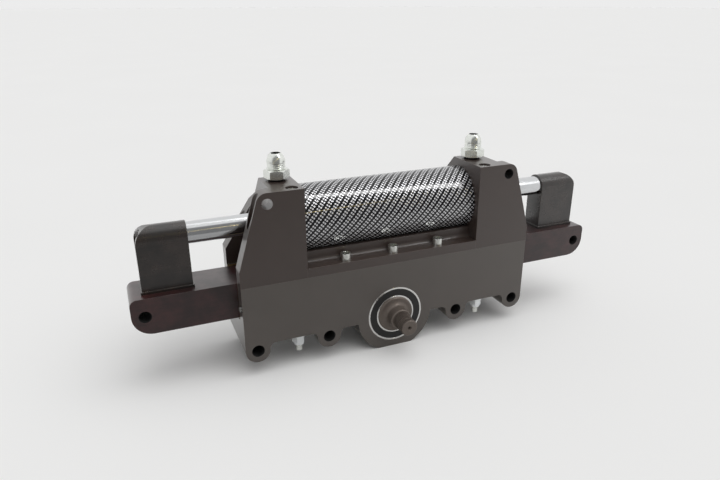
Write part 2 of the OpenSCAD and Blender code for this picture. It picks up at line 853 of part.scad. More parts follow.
module fitting_seals() {
  color("black")
  both_ends()
    translate([fitting_x, 0, fitting_z + fitting_seal_t / 2])
      rotate_extrude() intersection() {
        translate([port_r - neck_step + fitting_seal_t / 2, 0]) circle(r = fitting_seal_t / 2);
        translate([port_r - neck_step, -fitting_seal_t / 2]) square([far, fitting_seal_t]);
      }
}

module rack_guides() {
  guide_x1 = half_length - guide_recess;
  guide_top_z = seam_z - guide_top_gap;
  color("goldenrod")
  both_ends()
    difference() {
      box(guide_x1 - guide_length, guide_x1, -channel_half, channel_half, channel_z, guide_top_z);
      box(0, far, -guide_half, guide_half, bar_z - slide_gap, far);
    }
}

module guide_screws() {
  color("silver")
  both_ends()
    for (y = [-guide_screw_y, guide_screw_y])
      translate([half_length, y, guide_screw_z])
        rotate([0, 90, 0])
          cap_screw(guide_screw_d, guide_head_d, guide_head_h, guide_screw_grip,
                    guide_screw_af);
}

module top_pad() {
  color("goldenrod")
  box(-pad_length / 2, pad_length / 2, -pad_depth / 2, pad_depth / 2,
      bar_top_z + slide_gap, seam_z);
}

// race with a ball groove, between two radii
module race(r0, r1, y0, width, ball_r, ball_pitch_r, inside) {
  difference() {
    translate([r0, y0]) square([r1 - r0, width]);
    translate([ball_pitch_r, y0 + width / 2])
      circle(r = ball_r + (inside ? running_gap : 0));
  }
}

front_pitch_r = (front_inner_r + front_outer_r) / 2;
front_ball_r = (front_outer_r - front_inner_r) / 2 + ball_groove;
rear_pitch_r = (rear_inner_r + rear_outer_r) / 2;
rear_ball_r = (rear_outer_r - rear_inner_r) / 2 + ball_groove;

// rabbets for the seals at both faces of a front race
module seal_rabbets(r0, r1, depth) {
  for (y = [front_y - eps, front_in_y - depth])
    translate([r0, y]) square([r1 - r0, depth + eps]);
}

module front_outer_race() {
  color("silver")
  turn_y(0, pinion_z)
    difference() {
      race(front_outer_r, front_bearing_d / 2, front_y, front_bearing_width,
           front_ball_r, front_pitch_r, false);
      seal_rabbets(front_outer_r - eps, front_bearing_d / 2 - front_land, seal_depth);
    }
}

module front_inner_race() {
  color("silver")
  turn_y(0, pinion_z)
    difference() {
      race(front_bearing_bore / 2, front_inner_r, front_y, front_bearing_width,
           front_ball_r, front_pitch_r, true);
      seal_rabbets(front_bearing_bore / 2 + front_land, front_inner_r + eps,
                   seal_depth + seal_room);
    }
}

module ball_ring(count, pitch, r, y) {
  for (i = [0 : count - 1])
    translate([pitch * cos(360 * i / count), y, pinion_z + pitch * sin(360 * i / count)])
      sphere(r = r);
}

module front_balls_set() {
  color("silver")
  ball_ring(front_balls, front_pitch_r, front_ball_r, front_y + front_bearing_width / 2);
}

module front_bearing_seals() {
  seal_r0 = front_bearing_bore / 2 + front_land + running_gap;
  seal_r1 = front_bearing_d / 2 - front_land;
  color("black")
  turn_y(0, pinion_z)
    for (y = [front_y + seal_recess, front_in_y - seal_recess - bearing_seal_t])
      translate([seal_r0, y]) square([seal_r1 - seal_r0, bearing_seal_t]);
}

module rear_outer_race() {
  color("silver")
  turn_y(0, pinion_z)
    race(rear_outer_r, rear_bearing_d / 2, rear_y0, rear_bearing_width,
         rear_ball_r, rear_pitch_r, false);
}

module rear_inner_race() {
  color("silver")
  turn_y(0, pinion_z)
    race(rear_bearing_bore / 2, rear_inner_r, rear_y0, rear_bearing_width,
         rear_ball_r, rear_pitch_r, true);
}

module rear_balls_set() {
  color("silver")
  ball_ring(rear_balls, rear_pitch_r, rear_ball_r, rear_y0 + rear_bearing_width / 2);
}

module rear_retaining_ring() {
  outer = rear_bearing_d / 2 + ring_groove;
  color("dimgray")
  difference() {
    turn_y(0, pinion_z)
      translate([outer - ring_width, ring_y0]) square([ring_width, ring_t]);
    translate([0, 0, pinion_z])
      box(-ring_opening / 2, ring_opening / 2, ring_y0 - 1, ring_y1 + 1, -far, 0);
  }
}

// trapezium of one tooth space in the rack, drawn in X and Z
module tooth_space() {
  half = tooth_pitch / 4;
  slope = tan(pressure_angle);
  low = gear_module + 1;
  high = rack_tooth_depth - gear_module;
  polygon([
    [-half - low * slope, pitch_z - low],
    [half + low * slope, pitch_z - low],
    [half - high * slope, pitch_z + high],
    [-half + high * slope, pitch_z + high]
  ]);
}

module bar_outline() {
  half = bar_length / 2;
  difference() {
    translate([-half, bar_z]) square([bar_length, bar_height]);
    for (s = [0, 1]) mirror([s, 0]) {
      difference() {
        translate([half - bar_top_r, bar_top_z - bar_top_r]) square(bar_top_r + 1);
        translate([half - bar_top_r, bar_top_z - bar_top_r]) circle(r = bar_top_r);
      }
      difference() {
        translate([half - bar_bottom_r, bar_z - 1]) square([bar_bottom_r + 1, bar_bottom_r + 1]);
        translate([half - bar_bottom_r, bar_z + bar_bottom_r]) circle(r = bar_bottom_r);
      }
    }
    for (i = [0 : rack_teeth - 1])
      translate([(i - (rack_teeth - 1) / 2) * tooth_pitch, 0]) tooth_space();
  }
}

module rack_bar() {
  color("saddlebrown")
  difference() {
    slab_y(-bar_depth / 2, bar_depth / 2) bar_outline();
    for (x = [-tie_hole_spacing, tie_hole_spacing])
      bar_y(tie_hole_d / 2, -far, far, x / 2, tie_hole_z());
    both_ends()
      for (x = block_bolt_places()) {
        bar_zz(screw_d / 2 + screw_gap, bar_z - eps, far, x, 0);
        bar_zz(counterbore_d / 2, bar_z - eps, head_seat, x, 0);
      }
  }
}

// height of the tie rod holes, in the middle of the bar
function tie_hole_z() = bar_z + bar_height / 2;

// the two bolts of the right block
function block_bolt_places() = [
  block_inner_x + block_bolt_inset,
  block_inner_x + block_bolt_inset + block_bolt_spacing
];

module block_bolts() {
  color("silver")
  both_ends()
    for (x = block_bolt_places())
      translate([x, 0, head_seat])
        rotate([180, 0, 0])
          cap_screw(screw_d, screw_head_d, screw_head_h,
                    bar_top_z - head_seat + block_bolt_rise, screw_socket_af);
}

module piston_rod() {
  end = block_inner_x + rod_socket;
  color("silver")
  difference() {
    turn_x(0, cylinder_z)
      difference() {
        polygon([
          [0, -end],
          [rod_r - rod_bevel, -end],
          [rod_r, -end + rod_bevel],
          [rod_r, end - rod_bevel],
          [rod_r - rod_bevel, end],
          [0, end]
        ]);
        for (x = [-piston_length / 2 - clip_t, piston_length / 2])
          translate([rod_r - clip_groove, x]) square([clip_groove + 1, clip_t]);
      }
    both_ends()
      bar_x(rod_screw_d / 2, end - rod_screw_grip - hole_run_out, end + eps, 0, cylinder_z);
  }
}

// middle of the two ring grooves in the piston
seal_groove_x = piston_length / 4;

module piston() {
  color("silver")
  turn_x(0, cylinder_z)
    difference() {
      translate([rod_r, -piston_length / 2]) square([piston_r - rod_r, piston_length]);
      translate([bore_r - piston_groove, seal_groove_x - piston_seal_width / 2])
        square([far, piston_seal_width]);
      translate([bore_r - piston_groove, -seal_groove_x - wear_ring_width / 2])
        square([far, wear_ring_width]);
    }
}

module piston_seal() {
  color("black")
  turn_x(0, cylinder_z)
    translate([bore_r - piston_groove, seal_groove_x - piston_seal_width / 2])
      square([ring_r - bore_r + piston_groove, piston_seal_width]);
}

module piston_wear_ring() {
  color("darkgreen")
  turn_x(0, cylinder_z)
    translate([bore_r - piston_groove, -seal_groove_x - wear_ring_width / 2])
      square([ring_r - bore_r + piston_groove, wear_ring_width]);
}

module piston_clips() {
  color("dimgray")
  turn_x(0, cylinder_z)
    for (x = [-piston_length / 2 - clip_t, piston_length / 2])
      translate([rod_r - clip_groove, x]) square([clip_groove + clip_height, clip_t]);
}

// a block seen from the front, with its rounded outer top corner
module block_face() {
  top = cylinder_z + block_r;
  difference() {
    translate([block_inner_x, bar_top_z]) square([block_length, top - bar_top_z]);
    difference() {
      translate([block_end_x - block_corner_r, top - block_corner_r])
        square(block_corner_r + 1);
      translate([block_end_x - block_corner_r, top - block_corner_r])
        circle(r = block_corner_r);
    }
  }
}

module rod_block() {
  difference() {
    union() {
      intersection() {
        slab_y(-block_r, block_r) block_face();
        slab_x(block_inner_x, block_end_x) union() {
          translate([-block_r, bar_top_z]) square([block_depth, cylinder_z - bar_top_z]);
          translate([0, cylinder_z]) circle(r = block_r);
        }
      }
      box(block_inner_x - foot_step, block_end_x + foot_step, -block_r - foot_step,
          block_r + foot_step, bar_top_z, bar_top_z + foot_height);
    }
    bar_x(rod_r, block_inner_x - eps, block_inner_x + rod_socket, 0, cylinder_z);
    bar_x(rod_screw_d / 2 + screw_gap, block_inner_x, far, 0, cylinder_z);
    bar_x(rod_screw_bore_d / 2, rod_screw_seat, far, 0, cylinder_z);
    for (x = block_bolt_places())
      bar_zz(screw_d / 2, bar_top_z - eps, bar_top_z + block_bolt_rise + hole_run_out, x, 0);
  }
}

module right_rod_block() {
  color("black") rod_block();
}

module left_rod_block() {
  color("black") mirror([1, 0, 0]) rod_block();
}

module rod_screws() {
  rod_end = block_inner_x + rod_socket;
  color("dimgray")
  both_ends()
    translate([rod_screw_seat, 0, cylinder_z])
      rotate([0, 90, 0])
        cap_screw(rod_screw_d, rod_screw_head_d, rod_screw_head_h,
                  rod_screw_seat - rod_end + rod_screw_grip, rod_screw_af);
}

// involute function, in degrees
function involute(r) = tan(acos(base_r / r)) * deg - acos(base_r / r);

// half angle of a tooth at a radius
function tooth_half(r) = 90 / pinion_teeth - backlash / pitch_r / 2 * deg
  + involute(pitch_r) - involute(r);

function flank_r(i) = base_r + (tip_r - base_r) * i / flank_steps;

// one tooth pointing up, as points from the left root to the right root
function tooth_points(a) = [
  for (i = [0 : flank_steps]) polar(flank_r(i), a - tooth_half(flank_r(i))),
  for (i = [0 : flank_steps])
    polar(flank_r(flank_steps - i), a + tooth_half(flank_r(flank_steps - i)))
];

// point at a radius and an angle from straight up
function polar(r, a) = [r * sin(a), r * cos(a)];

module pinion_gear() {
  root_half = tooth_half(base_r);
  polygon([
    for (k = [0 : pinion_teeth - 1]) each [
      polar(root_r, k * 360 / pinion_teeth - root_half - root_spread),
      each tooth_points(k * 360 / pinion_teeth),
      polar(root_r, k * 360 / pinion_teeth + root_half + root_spread)
    ]
  ]);
}

module spline_outline() {
  step = 360 / spline_teeth;
  polygon([
    for (k = [0 : spline_teeth - 1]) each [
      polar(spline_d / 2 - spline_depth, (k - spline_root_half) * step),
      polar(spline_d / 2, (k - spline_tip_half) * step),
      polar(spline_d / 2, (k + spline_tip_half) * step),
      polar(spline_d / 2 - spline_depth, (k + spline_root_half) * step)
    ]
  ]);
}

module shaft_profile() {
  hub_r = front_bearing_bore / 2;
  end_y = front_y - input_length;
  neck_y = end_y + spline_length;
  rear_r = rear_bearing_bore / 2;
  hub_y = front_y - hub_step;
  polygon([
    [0, neck_y - eps],
    [neck_r - shaft_chamfer, neck_y - eps],
    [neck_r, neck_y + shaft_chamfer],
    [neck_r, hub_y],
    [hub_r - shaft_chamfer, hub_y],
    [hub_r, hub_y + shaft_chamfer],
    [hub_r, front_in_y],
    [shoulder_r, front_in_y],
    [shoulder_r, pinion_y0],
    [core_r, pinion_y0],
    [core_r, pinion_y1],
    [rear_inner_r - shaft_chamfer, pinion_y1],
    [rear_inner_r - shaft_chamfer, rear_y0],
    [rear_r, rear_y0],
    [rear_r, ring_y1 - shaft_chamfer],
    [rear_r - shaft_chamfer, ring_y1],
    [0, ring_y1]
  ]);
  difference() {
    translate([neck_r - eps, hub_y - neck_fillet_r])
      square([neck_fillet_r + eps, neck_fillet_r + eps]);
    translate([neck_r + neck_fillet_r, hub_y - neck_fillet_r]) circle(r = neck_fillet_r);
  }
}

module pinion_shaft() {
  end_y = front_y - input_length;
  color("rosybrown")
  difference() {
    union() {
      turn_y(0, pinion_z) shaft_profile();
      translate([0, 0, pinion_z]) slab_y(pinion_y0, pinion_y1) pinion_gear();
      translate([0, 0, pinion_z])
        slab_y(end_y, end_y + spline_length + eps) spline_outline();
    }
    // bevelled shaft end
    turn_y(0, pinion_z)
      polygon([
        [spline_d / 2 - end_bevel, end_y - eps],
        [spline_d / 2 + end_bevel, end_y - eps],
        [spline_d / 2 + end_bevel, end_y + 2 * end_bevel]
      ]);
    // groove for the clamp bolt
    turn_y(0, pinion_z)
      translate([spline_d / 2 - groove_depth, end_y + groove_inset])
        square([2 * groove_depth, groove_width]);
    // centre drill
    turn_y(0, pinion_z)
      polygon([
        [0, end_y - eps],
        [centre_drill_r, end_y - eps],
        [centre_drill_r / 2, end_y + centre_drill_r],
        [centre_drill_r / 2, end_y + 3 * centre_drill_r],
        [0, end_y + 3 * centre_drill_r]
      ]);
  }
}

rack_housing();
middle_plate();
left_tower();
right_tower();
cylinder_liner();
woven_sleeve();
liner_seals();
rod_glands();
rod_seals();
rod_wipers();
plate_screws();
tower_screws();
front_tie_bolts();
back_tie_bolts();
tie_nuts();
tie_washers();
hose_fittings();
fitting_seals();
rack_guides();
guide_screws();
top_pad();
front_outer_race();
front_balls_set();
front_bearing_seals();
rear_outer_race();
rear_balls_set();
rear_retaining_ring();
rack_bar();
piston_rod();
piston();
piston_seal();
piston_wear_ring();
piston_clips();
left_rod_block();
right_rod_block();
block_bolts();
rod_screws();
pinion_shaft();
front_inner_race();
rear_inner_race();
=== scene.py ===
# %% [markdown]
# A power steering rack in Blender
#
# The real object is a steering gear for a vehicle: a machined housing with a rack and
# pinion inside, two towers on top, and between the towers a double-ended power cylinder
# in a woven sleeve. The rack bar sticks out at both ends and carries two blocks that hold
# the polished piston rod. The CAD model already has the exact shapes and the real sizes,
# so this lesson is about finishes, light and two finer hose fittings.

# %% Load the CAD frame
import math

import bmesh
import bpy
from mathutils import Matrix, Vector


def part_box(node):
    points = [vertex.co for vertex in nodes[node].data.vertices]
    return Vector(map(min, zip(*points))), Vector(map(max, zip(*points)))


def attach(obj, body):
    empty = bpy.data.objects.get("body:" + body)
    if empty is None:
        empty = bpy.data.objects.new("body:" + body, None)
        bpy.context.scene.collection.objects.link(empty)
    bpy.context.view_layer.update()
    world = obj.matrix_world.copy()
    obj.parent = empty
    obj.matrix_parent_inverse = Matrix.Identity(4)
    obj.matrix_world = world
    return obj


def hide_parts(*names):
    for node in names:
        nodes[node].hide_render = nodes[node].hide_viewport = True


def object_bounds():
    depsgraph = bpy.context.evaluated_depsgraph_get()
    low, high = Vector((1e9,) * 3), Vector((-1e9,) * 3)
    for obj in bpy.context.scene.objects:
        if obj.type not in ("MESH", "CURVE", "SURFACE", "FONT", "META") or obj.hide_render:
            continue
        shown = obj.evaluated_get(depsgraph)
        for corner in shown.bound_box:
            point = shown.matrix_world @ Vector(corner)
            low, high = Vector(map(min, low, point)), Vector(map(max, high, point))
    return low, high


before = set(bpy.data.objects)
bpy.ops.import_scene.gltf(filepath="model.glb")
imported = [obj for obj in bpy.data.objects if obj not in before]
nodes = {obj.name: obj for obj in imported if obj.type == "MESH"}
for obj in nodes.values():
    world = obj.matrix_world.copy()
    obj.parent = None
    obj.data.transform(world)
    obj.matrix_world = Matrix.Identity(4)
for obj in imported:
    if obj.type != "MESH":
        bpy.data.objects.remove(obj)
cad_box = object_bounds()
print("size in mm:", [round((hi - lo) * 1000, 1) for lo, hi in zip(*cad_box)])

# %% [markdown]
# The camera stands in front of the left half of the rack, a little above the towers, and
# looks down and to the right. Its place and lens come from matching the mounting holes
# and edges of the CAD model to the photo. The same numbers could be found by hand, by
# moving the camera until the holes line up, but a match of many points is steadier.

# %% Camera
camera_place = Vector((-0.22679, -0.49606, 0.28475))
turn_right, look_down, roll = math.radians(22.54), math.radians(21.37), math.radians(-0.29)

forward = Vector((math.sin(turn_right) * math.cos(look_down),
                  math.cos(turn_right) * math.cos(look_down), -math.sin(look_down)))
level_right = Vector((math.cos(turn_right), -math.sin(turn_right), 0))
level_up = level_right.cross(forward)
right = math.cos(roll) * level_right + math.sin(roll) * level_up
up = -math.sin(roll) * level_right + math.cos(roll) * level_up

camera = bpy.data.objects.new("camera", bpy.data.cameras.new("camera"))
bpy.context.scene.collection.objects.link(camera)
camera.data.lens = 30.22
camera.data.sensor_width = 36
camera.data.clip_start = 0.01
camera.matrix_world = Matrix.Translation(camera_place) @ Matrix(
    (right, up, -forward)).transposed().to_4x4()
bpy.context.scene.camera = camera
front_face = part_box("rack_housing")[0][1]
print("camera to front face in mm:", round((front_face - camera_place.y) * 1000))

# %% [markdown]
# Every finish on this object is built from a few small effects: soft edges, cloudy
# variation, long tool marks, turned rings, painted shade in the bores and the twill of the
# sleeve. Each effect is a node group with named inputs and outputs, made once and placed in
# each material with values of its own. The alternative is to paint images, which would have
# a fixed resolution, while a formula stays sharp from every distance.

# %% Short helpers for node trees
def link(tree, value, socket):
    """Feeds a socket with another socket or with a plain number or colour."""
    if isinstance(value, bpy.types.NodeSocket):
        tree.links.new(value, socket)
    else:
        socket.default_value = value


def calc(tree, operation, *values):
    """One Math node. Values are numbers or sockets."""
    node = tree.nodes.new("ShaderNodeMath")
    node.operation = operation
    for value, socket in zip(values, node.inputs):
        link(tree, value, socket)
    return node.outputs[0]


def weighted_sum(tree, *pairs):
    """Adds values up, each times its own share. Pairs are (value, share)."""
    terms = [calc(tree, "MULTIPLY", value, share) for value, share in pairs]
    total = terms.pop()
    while terms:
        total = calc(tree, "ADD", terms.pop(), total)
    return total


def blend_colours(tree, factor, first, second):
    """Mixes two colours, first where the factor is 0 and second where it is 1."""
    node = tree.nodes.new("ShaderNodeMix")
    node.data_type = "RGBA"
    link(tree, factor, node.inputs["Factor"])
    link(tree, first, node.inputs["A"])
    link(tree, second, node.inputs["B"])
    return node.outputs["Result"]


def vector_calc(tree, operation, *values, output=0):
    """One Vector Math node. Output 0 is its vector and output 1 its number."""
    node = tree.nodes.new("ShaderNodeVectorMath")
    node.operation = operation
    for value, socket in zip(values, node.inputs):
        link(tree, value, socket)
    return node.outputs[output]


def spread(tree, value, low, high, to_low=0.0, to_high=1.0):
    """Maps the range low..high smoothly on to_low..to_high."""
    node = tree.nodes.new("ShaderNodeMapRange")
    node.interpolation_type = "SMOOTHSTEP"
    for entry, name in ((value, "Value"), (low, "From Min"), (high, "From Max"),
                        (to_low, "To Min"), (to_high, "To Max")):
        link(tree, entry, node.inputs[name])
    return node.outputs["Result"]


def noise(tree, vector, scale, detail=3.0, roughness=0.5):
    """A noise value from 0 to 1."""
    node = tree.nodes.new("ShaderNodeTexNoise")
    link(tree, vector, node.inputs["Vector"])
    link(tree, scale, node.inputs["Scale"])
    node.inputs["Detail"].default_value = detail
    node.inputs["Roughness"].default_value = roughness
    return node.outputs["Fac"]


def group(name, inputs, outputs):
    """An empty node group. Inputs and outputs are (name, kind, value) rows."""
    tree = bpy.data.node_groups.new(name, "ShaderNodeTree")
    for label, kind, value in inputs:
        socket = tree.interface.new_socket(label, in_out="INPUT", socket_type="NodeSocket" + kind)
        if value is not None:
            socket.default_value = value
    for label, kind in outputs:
        tree.interface.new_socket(label, in_out="OUTPUT", socket_type="NodeSocket" + kind)
    return tree, tree.nodes.new("NodeGroupInput").outputs, tree.nodes.new("NodeGroupOutput").inputs


def place(tree, effect, **values):
    """Puts an effect in a material. Underscores in the names stand for spaces."""
    node = tree.nodes.new("ShaderNodeGroup")
    node.node_tree = effect
    for label, value in values.items():
        link(tree, value, node.inputs[label.replace("_", " ")])
    return node.outputs


# %% [markdown]
# Machined parts never have razor-sharp edges: a file or a deburring wheel breaks them by
# a few tenths of a millimetre, and that thin round catches the light. It could be cut
# into the mesh with a bevel, but the CAD meshes stay as they are, so the Bevel shader
# node turns the normal near each edge. How far the turned normal leaves the flat one also
# tells where the edges are, and there the finish wears through first.

# %% Effect: soft edges
soft_edges, values, results = group(
    "soft_edges",
    [("Radius", "Float", 0.0004)],
    [("Normal", "Vector"), ("Edge", "Float")])
rounded = soft_edges.nodes.new("ShaderNodeBevel")
rounded.samples = 6
link(soft_edges, values["Radius"], rounded.inputs["Radius"])
flat = soft_edges.nodes.new("ShaderNodeNewGeometry").outputs["True Normal"]
likeness = vector_calc(soft_edges, "DOT_PRODUCT", rounded.outputs[0], flat, output=1)
link(soft_edges, rounded.outputs[0], results["Normal"])
on_flat, on_edge = 0.985, 0.80
link(soft_edges, spread(soft_edges, likeness, on_flat, on_edge), results["Edge"])
print("effect:", soft_edges.name)

# %% [markdown]
# No finish is quite even. Handling, oil and the bath that coloured the metal leave large
# soft clouds with a fine grain on top. Two noises of different size are enough, and the
# material decides how strongly they show.

# %% Effect: clouds and grain
cloudy, values, results = group(
    "cloudy",
    [("Vector", "Vector", None), ("Cloud Size", "Float", 0.03), ("Grain Size", "Float", 0.0006)],
    [("Cloud", "Float"), ("Grain", "Float")])
for size, output, detail in (("Cloud Size", "Cloud", 4.0), ("Grain Size", "Grain", 2.0)):
    scale = calc(cloudy, "DIVIDE", 1.0, values[size])
    link(cloudy, noise(cloudy, values["Vector"], scale, detail, 0.55), results[output])
print("effect:", cloudy.name)

# %% [markdown]
# A milling cutter leaves faint straight lines along its path. They are noise that is
# squeezed across the path and stretched along it, which the Stretch input does for each
# axis.

# %% Effect: tool marks
tool_marks, values, results = group(
    "tool_marks",
    [("Vector", "Vector", None), ("Stretch", "Vector", (40.0, 900.0, 900.0))],
    [("Mark", "Float")])
squeezed = vector_calc(tool_marks, "MULTIPLY", values["Vector"], values["Stretch"])
link(tool_marks, noise(tool_marks, squeezed, 1.0, 4.0, 0.6), results["Mark"])
print("effect:", tool_marks.name)

# %% [markdown]
# A lathe leaves rings round the axis of the piece instead. The ring noise must not change
# round the axis, so it reads only two numbers: how far along the axis a point is, and how
# far from the axis. A middle point and a direction say where the axis lies.

# %% Effect: turned rings
turned_rings, values, results = group(
    "turned_rings",
    [("Vector", "Vector", None), ("Middle", "Vector", (0.0, 0.0, 0.0)),
     ("Axis", "Vector", (1.0, 0.0, 0.0)), ("Ring Size", "Float", 0.0003)],
    [("Ring", "Float")])
from_middle = vector_calc(turned_rings, "SUBTRACT", values["Vector"], values["Middle"])
along = vector_calc(turned_rings, "DOT_PRODUCT", from_middle, values["Axis"], output=1)
along_axis = vector_calc(turned_rings, "MULTIPLY", values["Axis"], along)
across = vector_calc(turned_rings, "SUBTRACT", from_middle, along_axis)
both = turned_rings.nodes.new("ShaderNodeCombineXYZ")
link(turned_rings, along, both.inputs[0])
link(turned_rings, vector_calc(turned_rings, "LENGTH", across, output=1), both.inputs[1])
scale = calc(turned_rings, "DIVIDE", 1.0, values["Ring Size"])
link(turned_rings, noise(turned_rings, both.outputs[0], scale, 3.0, 0.6), results["Ring"])
print("effect:", turned_rings.name)

# %% [markdown]
# The sleeve is a cloth of silver and black tows under clear resin. Its pattern repeats on
# a slanted grid, so two numbers that count cells are worked out first, one for each
# direction of the grid. Both grow by a whole number over a full turn, which leaves no
# seam. In every cell lie two silver patches, each a square with round corners, whose
# sides are given in millimetres across and along the tows. The pairs meet at a neck, and
# a small black dot stays where four patches meet.

# %% Effect: twill of the sleeve
twill, values, results = group(
    "twill",
    [("Along", "Float", 0.0), ("Turns", "Float", 0.0)],
    [("Silver", "Float"), ("Height", "Float")])
first_per_mm, first_per_turn = 0.2558, 47.0
second_per_mm, second_per_turn = -0.1355, 23.0
patch_middles = ((0.0, 0.0), (0.079, -0.366))
across_per_cell, lengthwise_per_cell = (0.1106, -5.476), (2.834, 0.6265)
half_wide, half_long = 0.80, 0.90
roundness = 2.5


def within_cell(count, middle):
    """How far a point is from the middle of its cell, from -0.5 to 0.5."""
    moved = calc(twill, "SUBTRACT", count, middle - 0.5)
    return calc(twill, "SUBTRACT", calc(twill, "FRACT", moved), 0.5)


first_count = weighted_sum(twill, (values["Along"], first_per_mm), (values["Turns"], first_per_turn))
second_count = weighted_sum(twill, (values["Along"], second_per_mm), (values["Turns"], second_per_turn))
silver_patches, patch_heights = [], []
for first_middle, second_middle in patch_middles:
    in_cell = within_cell(first_count, first_middle), within_cell(second_count, second_middle)
    across = weighted_sum(twill, *zip(in_cell, across_per_cell))
    lengthwise = weighted_sum(twill, *zip(in_cell, lengthwise_per_cell))
    powers = []
    for value, half in ((across, half_wide), (lengthwise, half_long)):
        share = calc(twill, "DIVIDE", calc(twill, "ABSOLUTE", value), half)
        powers.append(calc(twill, "POWER", share, roundness))
    to_rim = calc(twill, "POWER", calc(twill, "ADD", *powers), 1 / roundness)
    silver_patches.append(spread(twill, to_rim, 1.06, 0.86))
    patch_heights.append(spread(twill, to_rim, 1.15, 0.0))
link(twill, calc(twill, "MAXIMUM", *silver_patches), results["Silver"])
link(twill, calc(twill, "MAXIMUM", *patch_heights), results["Height"])
print("effect:", twill.name)

# %% [markdown]
# The walls of the through holes get painted shade: they are made darker and more matte than
# the faces, which stands in for the shadow inside a bore. The mask asks how far a point is
# from the axis of a hole along Y. It could be painted by hand on the walls, but the hole's
# radius is exact.

# %% Effect: painted shade inside a bore
inside_bore, values, results = group(
    "inside_bore",
    [("Vector", "Vector", None), ("Middle X", "Float", 0.0), ("Middle Z", "Float", 0.0),
     ("Radius", "Float", 0.005)],
    [("Inside", "Float")])
parts = inside_bore.nodes.new("ShaderNodeSeparateXYZ")
link(inside_bore, values["Vector"], parts.inputs[0])
sideways = calc(inside_bore, "SUBTRACT", parts.outputs[0], values["Middle X"])
upward = calc(inside_bore, "SUBTRACT", parts.outputs[2], values["Middle Z"])
squares = calc(inside_bore, "ADD", calc(inside_bore, "MULTIPLY", sideways, sideways),
               calc(inside_bore, "MULTIPLY", upward, upward))
beyond = calc(inside_bore, "SUBTRACT", calc(inside_bore, "SQRT", squares), values["Radius"])
link(inside_bore, spread(inside_bore, beyond, 0.00025, 0.00005), results["Inside"])
print("effect:", inside_bore.name)

# %% [markdown]
# Each material starts the same way: a Principled shader, the object's own coordinates,
# and the soft edges. The pieces lie at the origin with their place in their meshes, so
# object coordinates are metres from the origin of the CAD frame, and a pattern keeps its
# true size on every piece.

# %% Start of a material
def start_material(name, edge_radius=0.0004):
    """A new material with its tree, its shader, object coordinates and soft edges."""
    material = bpy.data.materials.new(name)
    material.use_nodes = True
    tree = material.node_tree
    tree.nodes.clear()
    shader = tree.nodes.new("ShaderNodeBsdfPrincipled")
    tree.links.new(shader.outputs[0], tree.nodes.new("ShaderNodeOutputMaterial").inputs[0])
    spot = tree.nodes.new("ShaderNodeTexCoord").outputs["Object"]
    edges = place(tree, soft_edges, Radius=edge_radius)
    return material, tree, shader, spot, edges


film_ior = 1.32
# Painted shade: the colour and roughness that stand in for the shadow inside bores.
bore_shade_colour, bore_shade_roughness = (0.004, 0.004, 0.004, 1.0), 0.9


def oil_film(shader, roughness):
    """A thin film that mirrors little from the front and much at a slant."""
    shader.inputs["Coat Weight"].default_value = 1.0
    shader.inputs["Coat IOR"].default_value = film_ior
    shader.inputs["Coat Roughness"].default_value = roughness


def add_relief(tree, shader, edges, height, depth):
    """Bumps of a real depth in metres on top of the soft edges."""
    bump = tree.nodes.new("ShaderNodeBump")
    bump.inputs["Strength"].default_value = 1.0
    bump.inputs["Distance"].default_value = depth
    link(tree, height, bump.inputs["Height"])
    link(tree, edges["Normal"], bump.inputs["Normal"])
    link(tree, bump.outputs[0], shader.inputs["Normal"])


def darken_bores(tree, shader, spot, bores):
    """Paints shade into bores: makes them dark and matte. They are (x, z, radius) rows."""
    inside = 0.0
    for x, z, radius in bores:
        mask = place(tree, inside_bore, Vector=spot, Middle_X=x, Middle_Z=z, Radius=radius)["Inside"]
        inside = calc(tree, "MAXIMUM", inside, mask)
    colour_before = shader.inputs["Base Color"].links[0].from_socket
    rough_before = shader.inputs["Roughness"].links[0].from_socket
    outside = calc(tree, "SUBTRACT", 1.0, inside)
    link(tree, blend_colours(tree, inside, colour_before, bore_shade_colour), shader.inputs["Base Color"])
    link(tree, calc(tree, "MAXIMUM", rough_before, calc(tree, "MULTIPLY", inside, bore_shade_roughness)),
         shader.inputs["Roughness"])
    link(tree, calc(tree, "MULTIPLY", outside, shader.inputs["Coat Weight"].default_value),
         shader.inputs["Coat Weight"])


def tone(tree, colour, factor, low, high):
    """A colour times a value that goes from low to high with the factor."""
    darker = tuple(c * low for c in colour) + (1.0,)
    lighter = tuple(c * high for c in colour) + (1.0,)
    return blend_colours(tree, factor, darker, lighter)


# %% [markdown]
# A small helper gives a material to CAD nodes. A node's mesh and place are never touched,
# only the slot on its mesh that says which material it wears.

# %% Dress CAD nodes
def dress(material, *names):
    """Gives a material to CAD nodes."""
    for name in names:
        nodes[name].data.materials.clear()
        nodes[name].data.materials.append(material)
    print(material.name, "on", ", ".join(names))


# %% [markdown]
# The housing, the middle plate and the towers are aluminium with a dark grey-brown hard
# anodised skin. The skin is a layer of aluminium oxide, a clear mineral with a brown
# dye in its pores. The faces look nearly black from the front and mirror the pale studio
# when seen at a slant. The mineral gives half of that and the thin oil film on it the
# rest, which the shader's coat stands for. The oxide keeps the faint lines of the milling
# below it, and it is thin and paler on the edges.

